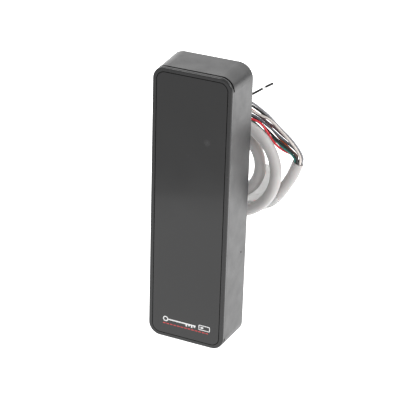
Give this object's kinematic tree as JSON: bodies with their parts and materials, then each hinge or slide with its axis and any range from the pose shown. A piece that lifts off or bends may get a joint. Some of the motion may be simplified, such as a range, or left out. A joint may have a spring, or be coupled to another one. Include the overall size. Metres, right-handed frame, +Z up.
{
  "type": "rfid card reader",
  "caption": "Slim wall-mounted access card reader: drafted black case with a glossy front panel, hung on a wall bracket by a bar and hooks, with a coiled multi-conductor lead behind it.",
  "frame": {"origin": "middle of the two wall screws, on the rear face of the wall bracket, which is the wall plane y = 0", "axes": "+Z up along the case, -Y out of the front panel, +X to the right as seen from the front"},
  "size_m": [0.0644, 0.0443, 0.146],
  "materials": {
    "case_black": "fine spark-eroded texture, satin",
    "bezel_black": "smooth satin",
    "panel_gloss": "polished, with a pad-printed mark",
    "adhesive": "foam tape",
    "light_pipe": "clear acrylic",
    "bobbin_plastic": "plain",
    "copper_wire": "enamelled copper",
    "board_green": "solder mask",
    "zinc_steel": "zinc plated",
    "chip_black": "moulded",
    "can_aluminium": "drawn",
    "led_white": "plain",
    "membrane_white": "felted film",
    "nylon_ivory": "plain",
    "rubber_black": "plain",
    "gasket_grey": "closed-cell foam",
    "jacket_grey": "satin vinyl",
    "label_white": "blank coated label",
    "insert_brass": "knurled",
    "reflector_white": "plain",
    "wire_grey": "insulation",
    "wire_white": "insulation",
    "wire_brown": "insulation",
    "wire_slate": "insulation",
    "wire_black": "insulation",
    "wire_orange": "insulation",
    "wire_red": "insulation",
    "wire_green": "insulation",
    "wire_yellow": "insulation"
  },
  "bodies": {
    "bracket": {"wall_bracket": "zinc_steel", "tab_insert": "insert_brass", "tamper_reflector": "reflector_white", "cable_lead": "jacket_grey", "cable_coil": "jacket_grey", "cable_tail": "jacket_grey", "cable_flag": "label_white", "wire_grey": "wire_grey", "wire_white": "wire_white", "wire_brown": "wire_brown", "wire_slate": "wire_slate", "wire_black": "wire_black", "wire_orange": "wire_orange", "wire_red": "wire_red", "wire_green": "wire_green", "wire_yellow": "wire_yellow", "wire_sleeved": "wire_black"},
    "case": {"main_housing": "case_black", "bezel_frame": "bezel_black", "front_panel": "panel_gloss", "panel_adhesive": "adhesive", "led_light_pipe": "light_pipe", "antenna_bobbin": "bobbin_plastic", "antenna_winding": "copper_wire", "main_pcb": "board_green", "pcb_screws": "zinc_steel", "controller_chip": "chip_black", "radio_chip": "chip_black", "voltage_regulator": "chip_black", "power_inductor": "chip_black", "clock_crystal": "can_aluminium", "reservoir_capacitors": "can_aluminium", "status_led": "led_white", "buzzer": "chip_black", "vent_membrane": "membrane_white", "tamper_sensor": "chip_black", "tamper_light_pipe": "light_pipe", "wire_header": "nylon_ivory", "crimp_plug": "nylon_ivory", "inner_leads": "wire_red", "inner_jacket": "jacket_grey", "cable_grommet": "rubber_black", "seal_gasket": "gasket_grey", "rear_cover": "case_black", "cover_screws": "zinc_steel"},
    "screw": {"locking_screw": "zinc_steel"}
  },
  "joints": [
    {"name": "case_tilt", "type": "hinge", "parent": "bracket", "child": "case", "pos_m": [0, -0.00355, 0.0686], "axis": [-1, 0, 0], "range_deg": [0, 6]},
    {"name": "lock_slide", "type": "slide", "parent": "bracket", "child": "screw", "axis": [0, 0, -1], "range_m": [0, 0.004]}
  ]
}
